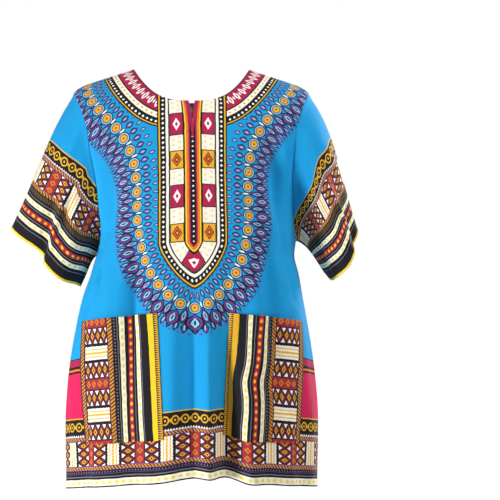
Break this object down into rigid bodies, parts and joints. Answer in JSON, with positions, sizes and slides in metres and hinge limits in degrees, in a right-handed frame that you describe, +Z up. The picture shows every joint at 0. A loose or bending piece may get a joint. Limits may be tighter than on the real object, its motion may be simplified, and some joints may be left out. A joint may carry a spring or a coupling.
{
  "type": "dashiki shirt",
  "caption": "Loose pullover shirt in printed cotton with a round slit neckline, wide elbow sleeves, patch pockets and short side vents.",
  "frame": {"origin": "middle of the neck at the height of the shoulder ridge, where the wearer's shoulders carry the shirt", "axes": "+Z up, the front looks along -Y, +X is the right sleeve as a viewer sees it"},
  "size_m": [0.6415, 0.2817, 0.773],
  "materials": {
    "front_panel": "printed plain-weave cotton, matt",
    "back_panel": "printed plain-weave cotton, matt",
    "sleeve_left": "printed plain-weave cotton, matt",
    "sleeve_right": "printed plain-weave cotton, matt",
    "pocket_left": "printed plain-weave cotton, matt",
    "pocket_right": "printed plain-weave cotton, matt"
  },
  "bodies": {
    "root": {"front_panel": "front_panel", "back_panel": "back_panel", "sleeve_left": "sleeve_left", "sleeve_right": "sleeve_right", "pocket_left": "pocket_left", "pocket_right": "pocket_right"}
  },
  "joints": []
}
